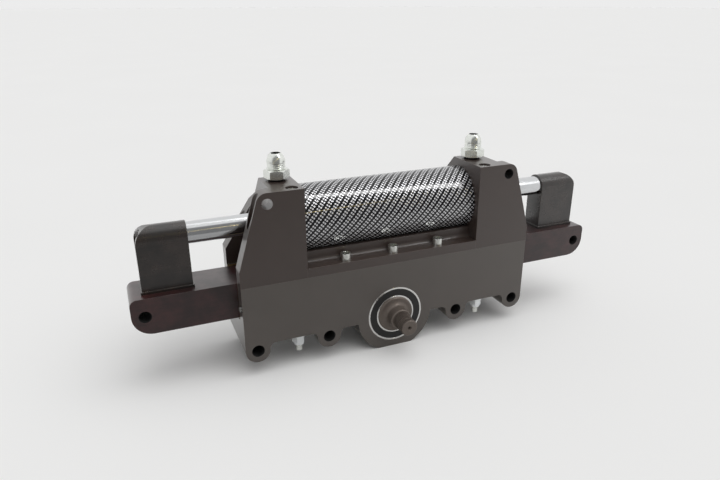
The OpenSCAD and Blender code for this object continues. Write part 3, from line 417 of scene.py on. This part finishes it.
# %% Anodised faces
def anodised(name, colour, edge_gain):
    """Dark anodised aluminium. The edges are paler by the gain."""
    material, tree, shader, spot, edges = start_material(name, 0.0005)
    clouds = place(tree, cloudy, Vector=spot, Cloud_Size=0.035, Grain_Size=0.00045)
    marks = place(tree, tool_marks, Vector=spot, Stretch=(45.0, 45.0, 1500.0))["Mark"]
    skin = tone(tree, colour, clouds["Cloud"], 0.86, 1.14)
    worn = calc(tree, "MULTIPLY", edges["Edge"], spread(tree, clouds["Cloud"], 0.35, 0.6, 0.35, 1.0))
    pale = tuple(c * edge_gain for c in colour) + (1.0,)
    link(tree, blend_colours(tree, worn, skin, pale), shader.inputs["Base Color"])
    rough = calc(tree, "ADD", spread(tree, clouds["Cloud"], 0.3, 0.7, 0.33, 0.41),
                 calc(tree, "MULTIPLY", marks, 0.05))
    link(tree, rough, shader.inputs["Roughness"])
    shader.inputs["IOR"].default_value = 1.55
    oil_film(shader, 0.30)
    relief = weighted_sum(tree, (marks, 0.5), (clouds["Grain"], 0.5))
    add_relief(tree, shader, edges, relief, 0.00002)
    darken_bores(tree, shader, spot, mounting_bores)
    return material


# Bores that get painted shade: the four mounting bores, and the upper bore of the right tower only,
# whose wall lies in shadow.
mounting_radius, upper_radius = 0.00555, 0.00475
mounting_bores = [(x, 0.0, mounting_radius) for x in (-0.13335, -0.0667, 0.0667, 0.13335)]
mounting_bores.append((0.1173, 0.1336, upper_radius))
dress(anodised("anodised_housing", (0.071, 0.060, 0.052), 2.0), "rack_housing")
dress(anodised("anodised_tower", (0.045, 0.031, 0.026), 2.6),
      "middle_plate", "left_tower", "right_tower")

# %% [markdown]
# The rack bar has a dark brown coat with a satin sheen, like a baked phosphate or dry film
# coat. The blocks are black oxide steel, a thinner and tighter finish. Both are dark
# layers on bright steel, so they are made alike, with another colour, gloss and grain,
# and both let a little metal through on the edges.

# %% Coated steel
def coated_steel(name, colour, roughness, index, edge_colour, stretch):
    """Steel under a dark layer, with mottling, marks, an oil film and worn edges."""
    material, tree, shader, spot, edges = start_material(name, 0.0006)
    clouds = place(tree, cloudy, Vector=spot, Cloud_Size=0.014, Grain_Size=0.0005)
    smears = place(tree, cloudy, Vector=spot, Cloud_Size=0.045, Grain_Size=0.003)
    marks = place(tree, tool_marks, Vector=spot, Stretch=stretch)["Mark"]
    mottled = weighted_sum(tree, (clouds["Cloud"], 0.45), (smears["Cloud"], 0.35), (marks, 0.20))
    skin = tone(tree, colour, spread(tree, mottled, 0.36, 0.64), 0.45, 1.65)
    worn = calc(tree, "MULTIPLY", edges["Edge"], spread(tree, clouds["Cloud"], 0.4, 0.65, 0.25, 1.0))
    link(tree, blend_colours(tree, worn, skin, edge_colour + (1.0,)), shader.inputs["Base Color"])
    link(tree, spread(tree, mottled, 0.38, 0.62, roughness + 0.07, roughness - 0.07),
         shader.inputs["Roughness"])
    shader.inputs["IOR"].default_value = index
    oil_film(shader, roughness - 0.06)
    relief = weighted_sum(tree, (marks, 0.6), (clouds["Grain"], 0.4))
    add_relief(tree, shader, edges, relief, 0.000007)
    # Painted shade in the tie rod bores.
    darken_bores(tree, shader, spot, tie_rod_bores)
    return material


tie_rod_bores = [(x, 0.0442, 0.00515) for x in (-0.2215, 0.2215)]
dress(coated_steel("brown_coat", (0.028, 0.007, 0.007), 0.36, 1.52, (0.14, 0.11, 0.10),
                   (30.0, 700.0, 700.0)), "rack_bar")
dress(coated_steel("black_oxide", (0.013, 0.008, 0.006), 0.30, 1.60, (0.16, 0.14, 0.12),
                   (60.0, 60.0, 900.0)),
      "left_rod_block", "right_rod_block", "rod_screws", "block_bolts",
      "rear_retaining_ring", "piston_clips")

# %% [markdown]
# The piston rod is ground steel with hard chrome, polished so that the seals last. It is
# almost a mirror: its look comes from what it reflects. Only the finest rings of the
# grinding stone are left, as a faint change of gloss. Liner, piston, bronze glands,
# bearing races and pinion come off a lathe too, so one recipe serves them all, with
# coarser rings and another metal. The pinion shaft is darker and half matte, from its
# heat treatment and a trace of oil.

# %% Turned and ground metal
def turned_metal(name, colour, roughness, axis, middle, ring_size, ring_depth,
                 variation=0.12, metal=1.0):
    """Metal with rings round an axis, given by its direction and one point on it."""
    material, tree, shader, spot, edges = start_material(name, 0.0003)
    ring = place(tree, turned_rings, Vector=spot, Middle=middle, Axis=axis, Ring_Size=ring_size)["Ring"]
    clouds = place(tree, cloudy, Vector=spot, Cloud_Size=0.012, Grain_Size=0.0004)
    shade = weighted_sum(tree, (ring, 0.5), (clouds["Cloud"], 0.5))
    link(tree, tone(tree, colour, shade, 1 - variation, 1 + variation), shader.inputs["Base Color"])
    link(tree, spread(tree, shade, 0.3, 0.7, roughness * 0.85, roughness * 1.15),
         shader.inputs["Roughness"])
    shader.inputs["Metallic"].default_value = metal
    add_relief(tree, shader, edges, ring, ring_depth)
    return material


along_x, along_y = (1.0, 0.0, 0.0), (0.0, 1.0, 0.0)
cylinder_middle = (0.0, 0.0, 0.1058)
pinion_middle = (0.0, 0.0, 0.009)
dress(turned_metal("hard_chrome", (0.66, 0.67, 0.68), 0.155, along_x, cylinder_middle,
                   0.0008, 0.0000005, 0.04), "piston_rod")
dress(turned_metal("honed_steel", (0.60, 0.60, 0.61), 0.22, along_x, cylinder_middle,
                   0.0003, 0.000003),
      "cylinder_liner")
dress(turned_metal("piston_aluminium", (0.78, 0.78, 0.79), 0.25, along_x, cylinder_middle,
                   0.0003, 0.000004),
      "piston")
dress(turned_metal("bearing_bronze", (0.55, 0.40, 0.21), 0.32, along_x, cylinder_middle,
                   0.0004, 0.000005),
      "rod_glands", "rack_guides", "top_pad")
dress(turned_metal("bearing_steel", (0.93, 0.92, 0.90), 0.20, along_y, pinion_middle,
                   0.00025, 0.000002),
      "front_outer_race", "front_inner_race", "rear_outer_race", "rear_inner_race",
      "front_balls_set", "rear_balls_set")
dress(turned_metal("pinion_steel", (0.15, 0.125, 0.108), 0.46, along_y, pinion_middle,
                   0.0004, 0.000006, 0.2, 0.5), "pinion_shaft")

# %% [markdown]
# Screws, nuts, washers and fittings are steel with bright zinc. Zinc is softer than
# chrome, so it shows a fine crystal grain, a slightly uneven gloss and a faint green-grey
# tint. Where wrenches touch it, on the edges, it is brighter.

# %% Zinc
def zinc(name, colour, roughness):
    """Bright zinc on steel, with a crystal grain."""
    material, tree, shader, spot, edges = start_material(name, 0.0003)
    clouds = place(tree, cloudy, Vector=spot, Cloud_Size=0.004, Grain_Size=0.0003)
    coat = tone(tree, colour, clouds["Cloud"], 0.85, 1.12)
    bright = tuple(min(0.95, c * 1.3) for c in colour) + (1.0,)
    link(tree, blend_colours(tree, edges["Edge"], coat, bright), shader.inputs["Base Color"])
    link(tree, spread(tree, clouds["Grain"], 0.3, 0.7, roughness - 0.06, roughness + 0.08),
         shader.inputs["Roughness"])
    shader.inputs["Metallic"].default_value = 1.0
    add_relief(tree, shader, edges, clouds["Grain"], 0.000006)
    return material


dress(zinc("zinc_screws", (0.80, 0.81, 0.77), 0.26),
      "plate_screws", "tower_screws", "front_tie_bolts", "back_tie_bolts")
dress(zinc("dull_screws", (0.30, 0.30, 0.29), 0.30), "guide_screws")
# The nuts and washers get a paler zinc than the screws, which is painted light: the paler colour stands
# in for light, since they sit low under the front edge and mirror the shaded floor.
dress(zinc("zinc_nuts_painted_light", (0.94, 0.96, 0.97), 0.34), "tie_nuts", "tie_washers")
zinc_fittings = zinc("zinc_fittings", (0.80, 0.82, 0.78), 0.25)
dress(zinc_fittings, "hose_fittings")

# %% [markdown]
# Each hose fitting is turned from hexagon bar: a hexagon for the wrench, a short neck, a
# thread and a rounded nose that the hose seals on. The CAD solid has its place and height
# with plain ridges, and this piece stands for it with a finer shape. First the hexagon.
# It starts as a short cylinder whose points are moved out to the flats, and a cone cuts
# its corners, as the chamfering tool does on the real one.

# %% Hexagon of a fitting
corner_cut = math.tan(math.radians(27))
corner_start = 0.96


def wrench_hexagon(across_flats, low, high):
    """A hexagon round the Z axis with its corners cut by a cone, in metres."""
    body = bmesh.new()
    half, middle = across_flats / 2, (low + high) / 2
    bmesh.ops.create_cone(body, cap_ends=True, segments=72, radius1=half, radius2=half, depth=high - low)
    rim = list(body.verts)
    caps = [face for face in body.faces if len(face.verts) == 72]
    bmesh.ops.inset_individual(body, faces=caps, thickness=half * (1 - corner_start))
    for vertex in rim:
        angle = math.degrees(math.atan2(vertex.co.y, vertex.co.x)) % 60 - 30
        stretch = 1 / math.cos(math.radians(angle))
        cut = half * (stretch - corner_start) * corner_cut
        vertex.co.x *= stretch
        vertex.co.y *= stretch
        vertex.co.z -= math.copysign(cut, vertex.co.z)
    bmesh.ops.translate(body, verts=body.verts, vec=(0, 0, middle))
    return body


# %% [markdown]
# A turned piece is drawn as half a section, and this list is one, in millimetres from the
# axis and above the tower. It starts deep in the tower, goes up over the neck and the
# thread to the nose, and back down into the passage. The ridges are rings and no helix,
# since the pitch can't be seen at this size and a ring closes cleanly. The lowest and
# highest points come from the CAD solid, so the piece is as tall as the one it stands for.

# %% Profile of a fitting
fitting_low, fitting_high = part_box("hose_fittings")[0][2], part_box("hose_fittings")[1][2]
tower_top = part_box("left_tower")[1][2]
depth_mm, height_mm = (tower_top - fitting_low) * 1000, (fitting_high - tower_top) * 1000
ridge_radius, groove_radius, ridge_step = 8.1, 7.75, 0.7
thread_z = [10.6 + ridge_step * i for i in range(8)]
below_thread = [(3.0, -depth_mm), (7.15, -depth_mm), (7.15, -1.0), (6.1, -0.9), (6.1, 2.0),
                (6.9, 8.5), (6.9, thread_z[0] - 0.4)]
thread = [(ridge_radius if i % 2 else groove_radius, z) for i, z in enumerate(thread_z)]
nose_and_bore = [(8.05, 16.6), (8.0, 17.6), (7.7, 18.9), (7.2, 20.2), (6.4, 21.7), (5.4, 22.9),
                 (4.9, height_mm), (4.2, height_mm), (4.0, 21.0), (3.0, 20.0)]
fitting_profile = below_thread + thread + nose_and_bore
print("points in the profile:", len(fitting_profile))

# %% [markdown]
# Spinning a profile round an axis is what the lathe does. A modifier could do it too, but
# the operator leaves a finished mesh behind. Edges that bend by more than 22 degrees stay
# sharp, so that flats look flat while the nose looks round. The faces of the passage get
# a second material with painted shade, dark because shadow fills the passage.

# %% One hose fitting
from_middle_plane = 0.0987
passage_radius = 0.00415
wrench_size, hexagon_low, hexagon_high = 0.0196, 0.0016, 0.0096
sharp_angle = math.radians(22)


def hose_fitting(turn_degrees, side):
    """The spun body and the hexagon of one fitting, in place."""
    body = wrench_hexagon(wrench_size, hexagon_low, hexagon_high)
    ring = [body.verts.new((radius / 1000, 0, height / 1000)) for radius, height in fitting_profile]
    edges = [body.edges.new(pair) for pair in zip(ring, ring[1:] + ring[:1])]
    bmesh.ops.spin(body, geom=ring + edges, axis=(0, 0, 1), cent=(0, 0, 0), dvec=(0, 0, 0),
                   angle=2 * math.pi, steps=64, use_merge=True)
    bmesh.ops.recalc_face_normals(body, faces=body.faces)
    bmesh.ops.rotate(body, verts=body.verts, cent=(0, 0, 0),
                     matrix=Matrix.Rotation(math.radians(turn_degrees), 3, "Z"))
    bmesh.ops.translate(body, verts=body.verts, vec=(side * from_middle_plane, 0, tower_top))
    for face in body.faces:
        face.smooth = True
        middle = face.calc_center_median()
        from_axis = math.hypot(middle.x - side * from_middle_plane, middle.y)
        # The faces of the passage get the second material, which is painted shade.
        face.material_index = int(len(face.verts) == 4 and from_axis < passage_radius)
    for edge in body.edges:
        edge.smooth = edge.calc_face_angle() < sharp_angle
    return body


# %% [markdown]
# The same fitting stands on both towers, each turned to where the wrench left it. Both
# ride on the housing and take the place of the CAD node.

# %% Both fittings in place
# Painted shade: a dark matte zinc on the faces of the passage stands in for the shadow inside it.
passage_shade = zinc("bore_painted_shade", (0.05, 0.05, 0.045), 0.5)
for name, turn_degrees, side in (("left_hose_fitting", 45.5, -1), ("right_hose_fitting", 20.0, 1)):
    body = hose_fitting(turn_degrees, side)
    piece = bpy.data.objects.new(name, bpy.data.meshes.new(name))
    body.to_mesh(piece.data)
    body.free()
    piece.data.materials.append(zinc_fittings)
    piece.data.materials.append(passage_shade)
    bpy.context.scene.collection.objects.link(piece)
    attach(piece, "housing")
    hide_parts("hose_fittings")
    print(name, "faces:", len(piece.data.polygons))

# %% [markdown]
# The seals are black rubber: matte, a little dusty on the edges and never fully black.
# The wear ring of the piston is a filled plastic in dull green. Both are hidden or small,
# so one plain recipe with a fine grain serves them.

# %% Rubber and plastic
def soft_matter(name, colour, roughness):
    """Matte rubber or plastic, a little dusty on the edges."""
    material, tree, shader, spot, edges = start_material(name, 0.0003)
    clouds = place(tree, cloudy, Vector=spot, Cloud_Size=0.006, Grain_Size=0.0003)
    dusty = tuple(c + 0.03 for c in colour) + (1.0,)
    link(tree, blend_colours(tree, calc(tree, "MULTIPLY", edges["Edge"], 0.6),
                             tone(tree, colour, clouds["Cloud"], 0.75, 1.25), dusty),
         shader.inputs["Base Color"])
    link(tree, spread(tree, clouds["Grain"], 0.3, 0.7, roughness - 0.05, roughness + 0.07),
         shader.inputs["Roughness"])
    add_relief(tree, shader, edges, clouds["Grain"], 0.00001)
    return material


dress(soft_matter("seal_rubber", (0.012, 0.012, 0.012), 0.45),
      "liner_seals", "rod_seals", "rod_wipers", "fitting_seals", "front_bearing_seals",
      "piston_seal")
dress(soft_matter("wear_plastic", (0.03, 0.08, 0.045), 0.5), "piston_wear_ring")

# %% [markdown]
# The woven sleeve is the eye-catcher. The twill reads how far along the tube a point is,
# in millimetres, and how many turns round the axis from the back. The silver tows shine
# like brushed metal and the dark ones hardly at all. Over both lies clear resin, which
# the shader's coat gives: a sharp second reflection on top of the soft one.

# %% Woven sleeve
material, tree, shader, spot, edges = start_material("woven_sleeve", 0.0003)
parts = tree.nodes.new("ShaderNodeSeparateXYZ")
link(tree, spot, parts.inputs[0])
over_axis = calc(tree, "SUBTRACT", parts.outputs[2], cylinder_middle[2])
turn = calc(tree, "ARCTAN2", over_axis, parts.outputs[1])
weave = place(tree, twill, Along=calc(tree, "MULTIPLY", parts.outputs[0], 1000.0),
              Turns=calc(tree, "DIVIDE", turn, -2 * math.pi))
clouds = place(tree, cloudy, Vector=spot, Cloud_Size=0.01, Grain_Size=0.0005)
silver = tone(tree, (0.78, 0.78, 0.80), clouds["Cloud"], 0.85, 1.1)
black = (0.006, 0.006, 0.007, 1.0)
link(tree, blend_colours(tree, weave["Silver"], black, silver), shader.inputs["Base Color"])
link(tree, calc(tree, "MULTIPLY", weave["Silver"], 0.7), shader.inputs["Metallic"])
link(tree, spread(tree, clouds["Grain"], 0.3, 0.7, 0.36, 0.46), shader.inputs["Roughness"])
shader.inputs["Specular IOR Level"].default_value = 0.0
shader.inputs["Coat Weight"].default_value = 1.0
shader.inputs["Coat Roughness"].default_value = 0.05
shader.inputs["Coat IOR"].default_value = 1.5
add_relief(tree, shader, edges, weave["Height"], 0.00006)
dress(material, "woven_sleeve")
print("cells round the tube:", first_per_turn, "by", second_per_turn)

# %% [markdown]
# The object stands on its pinion boss, on a pale paper sweep that ends just in front of
# it. The paper is a plain matte surface that takes the shadow. Its pale colour alone gives
# the pale background. In mirror images the part in front and to the left is painted dimmer,
# a painted reflection of the dark room that begins there, and that keeps the left faces of
# the object darker.

# %% Floor
gap_below = 0.00005
floor_height = cad_box[0][2] - gap_below
floor_size, floor_front = 30.0, -0.45
mesh = bmesh.new()
bmesh.ops.create_grid(mesh, x_segments=1, y_segments=1, size=floor_size)
bmesh.ops.translate(mesh, verts=mesh.verts, vec=(0, floor_size + floor_front, floor_height))
floor = bpy.data.objects.new("floor", bpy.data.meshes.new("floor"))
mesh.to_mesh(floor.data)
mesh.free()
bpy.context.scene.collection.objects.link(floor)

material = bpy.data.materials.new("pale_floor")
material.use_nodes = True
tree = material.node_tree
tree.nodes.clear()
matte = tree.nodes.new("ShaderNodeBsdfDiffuse")
spot = tree.nodes.new("ShaderNodeTexCoord").outputs["Object"]
parts = tree.nodes.new("ShaderNodeSeparateXYZ")
link(tree, spot, parts.inputs[0])
path = tree.nodes.new("ShaderNodeLightPath")
paper = blend_colours(tree, noise(tree, spot, 3.0, 2.0),
                      (0.855, 0.855, 0.85, 1.0), (0.875, 0.875, 0.87, 1.0))
# Painted reflection: in mirror rays only, the paper in front and to the left turns darker.
dim_left = spread(tree, parts.outputs[0], 0.40, -0.10, 0.0, 0.50)
dim_front = spread(tree, parts.outputs[1], 0.05, -0.10)
dimmed = calc(tree, "MULTIPLY", calc(tree, "MULTIPLY", dim_left, dim_front),
              path.outputs["Is Glossy Ray"])
in_mirror = calc(tree, "SUBTRACT", 1.0, dimmed)
link(tree, blend_colours(tree, in_mirror, (0.0, 0.0, 0.0, 1.0), paper), matte.inputs[0])
tree.links.new(matte.outputs[0], tree.nodes.new("ShaderNodeOutputMaterial").inputs[0])
floor.data.materials.append(material)
print("floor at", round(floor_height * 1000, 2), "mm")

# %% [markdown]
# The studio is a white sweep under a large soft lamp overhead, with a darker room in front
# of the object. The world gives all of that, and only its direction decides what is
# where. Lamps would do the same, but their light fades with distance, and the floor would
# show a bright spot. This cell holds the levels and the directions.

# %% World
world = bpy.data.worlds.new("studio")
bpy.context.scene.world = world
world.use_nodes = True
tree = world.node_tree
tree.nodes.clear()
direction = tree.nodes.new("ShaderNodeTexCoord").outputs["Generated"]
parts = tree.nodes.new("ShaderNodeSeparateXYZ")
link(tree, direction, parts.inputs[0])
to_right, to_back, to_top = parts.outputs
path = tree.nodes.new("ShaderNodeLightPath")
from_sides, from_softbox, seen_level = 0.38, 1.70, 0.84
room_level, dark_level, lamp_glow, lamp_bright = 0.90, 0.22, 0.6, 9.0
softbox_direction = (0.24, -0.28, 0.93)
lamp_across = (0.78, 0.594, -0.196)
frame_across = (-0.472, 0.325, 0.820)


def beside(across):
    """How far a direction is from the plane of a long narrow light."""
    return calc(tree, "ABSOLUTE", vector_calc(tree, "DOT_PRODUCT", direction, across, output=1))


# %% [markdown]
# The light on the surfaces is strong from above and a little from the front, which draws
# the soft shadow on the floor, and weaker and even from the sides.

# %% World: light on the surfaces
towards_softbox = vector_calc(tree, "DOT_PRODUCT", direction, softbox_direction, output=1)
softbox = spread(tree, towards_softbox, 0.62, 0.97)
lighting = calc(tree, "ADD", from_sides, calc(tree, "MULTIPLY", softbox, from_softbox))
print("light from the sides and from the softbox:", from_sides, from_softbox)

# %% [markdown]
# Reflections show more of the studio: a pale room, the dark room in front, a long narrow
# lamp high up and a thin warm frame below it. They draw the bright and dark bands along
# the chrome rod and the sleeve. Without them polished metal would look like grey paint.

# %% World: what reflections show
in_front = spread(tree, to_back, -0.40, -0.58)
not_right = spread(tree, to_right, 0.60, 0.52)
dark_room = calc(tree, "MULTIPLY", in_front, not_right)
room = spread(tree, dark_room, 0.0, 1.0, room_level, dark_level)

lamp = calc(tree, "MULTIPLY", spread(tree, beside(lamp_across), 0.085, 0.025),
            spread(tree, to_top, 0.45, 0.60))
lamp_middle = calc(tree, "MULTIPLY", spread(tree, to_right, 0.18, 0.27),
                   spread(tree, to_right, 0.58, 0.53))
lamp_level = spread(tree, lamp_middle, 0.0, 1.0, lamp_glow, lamp_bright)
mirrored = calc(tree, "ADD", room, calc(tree, "MULTIPLY", lamp, lamp_level))

warm_frame = calc(tree, "MULTIPLY", spread(tree, beside(frame_across), 0.020, 0.006), in_front)
warm_level = calc(tree, "MULTIPLY", spread(tree, to_right, 0.12, 0.26, 0.9, 7.0),
                  spread(tree, to_right, 0.46, 0.30))
warm = calc(tree, "MULTIPLY", warm_frame, warm_level)
print("room, dark room and lamp in reflections:", room_level, dark_level, lamp_bright)

# %% [markdown]
# Light Path tells which kind of ray asks for the world. Rays from rough surfaces get the
# soft light, mirror rays get the picture of the studio, and rays straight from the camera
# get one plain pale level.

# %% World: one level for each kind of ray
in_reflections, seen_directly = path.outputs["Is Glossy Ray"], path.outputs["Is Camera Ray"]
strength = lighting
for kind_of_ray, level in ((in_reflections, mirrored), (seen_directly, seen_level)):
    change = calc(tree, "SUBTRACT", level, strength)
    strength = calc(tree, "ADD", strength, calc(tree, "MULTIPLY", kind_of_ray, change))
shares = []
for colour, level in (((1.0, 1.0, 1.0, 1.0), strength),
                      ((1.0, 0.80, 0.34, 1.0), calc(tree, "MULTIPLY", warm, in_reflections))):
    shares.append(tree.nodes.new("ShaderNodeBackground"))
    shares[-1].inputs["Color"].default_value = colour
    link(tree, level, shares[-1].inputs["Strength"])
backdrop = tree.nodes.new("ShaderNodeAddShader")
for share, socket in zip(shares, backdrop.inputs):
    link(tree, share.outputs[0], socket)
tree.links.new(backdrop.outputs[0], tree.nodes.new("ShaderNodeOutputWorld").inputs[0])
print("level seen by the camera:", seen_level)

# %% [markdown]
# The Standard view transform shows the finishes as they are, without the soft roll-off
# of a film look. That keeps the pale background pale and the dark metal dark.

# %% View settings
bpy.context.scene.view_settings.view_transform = "Standard"
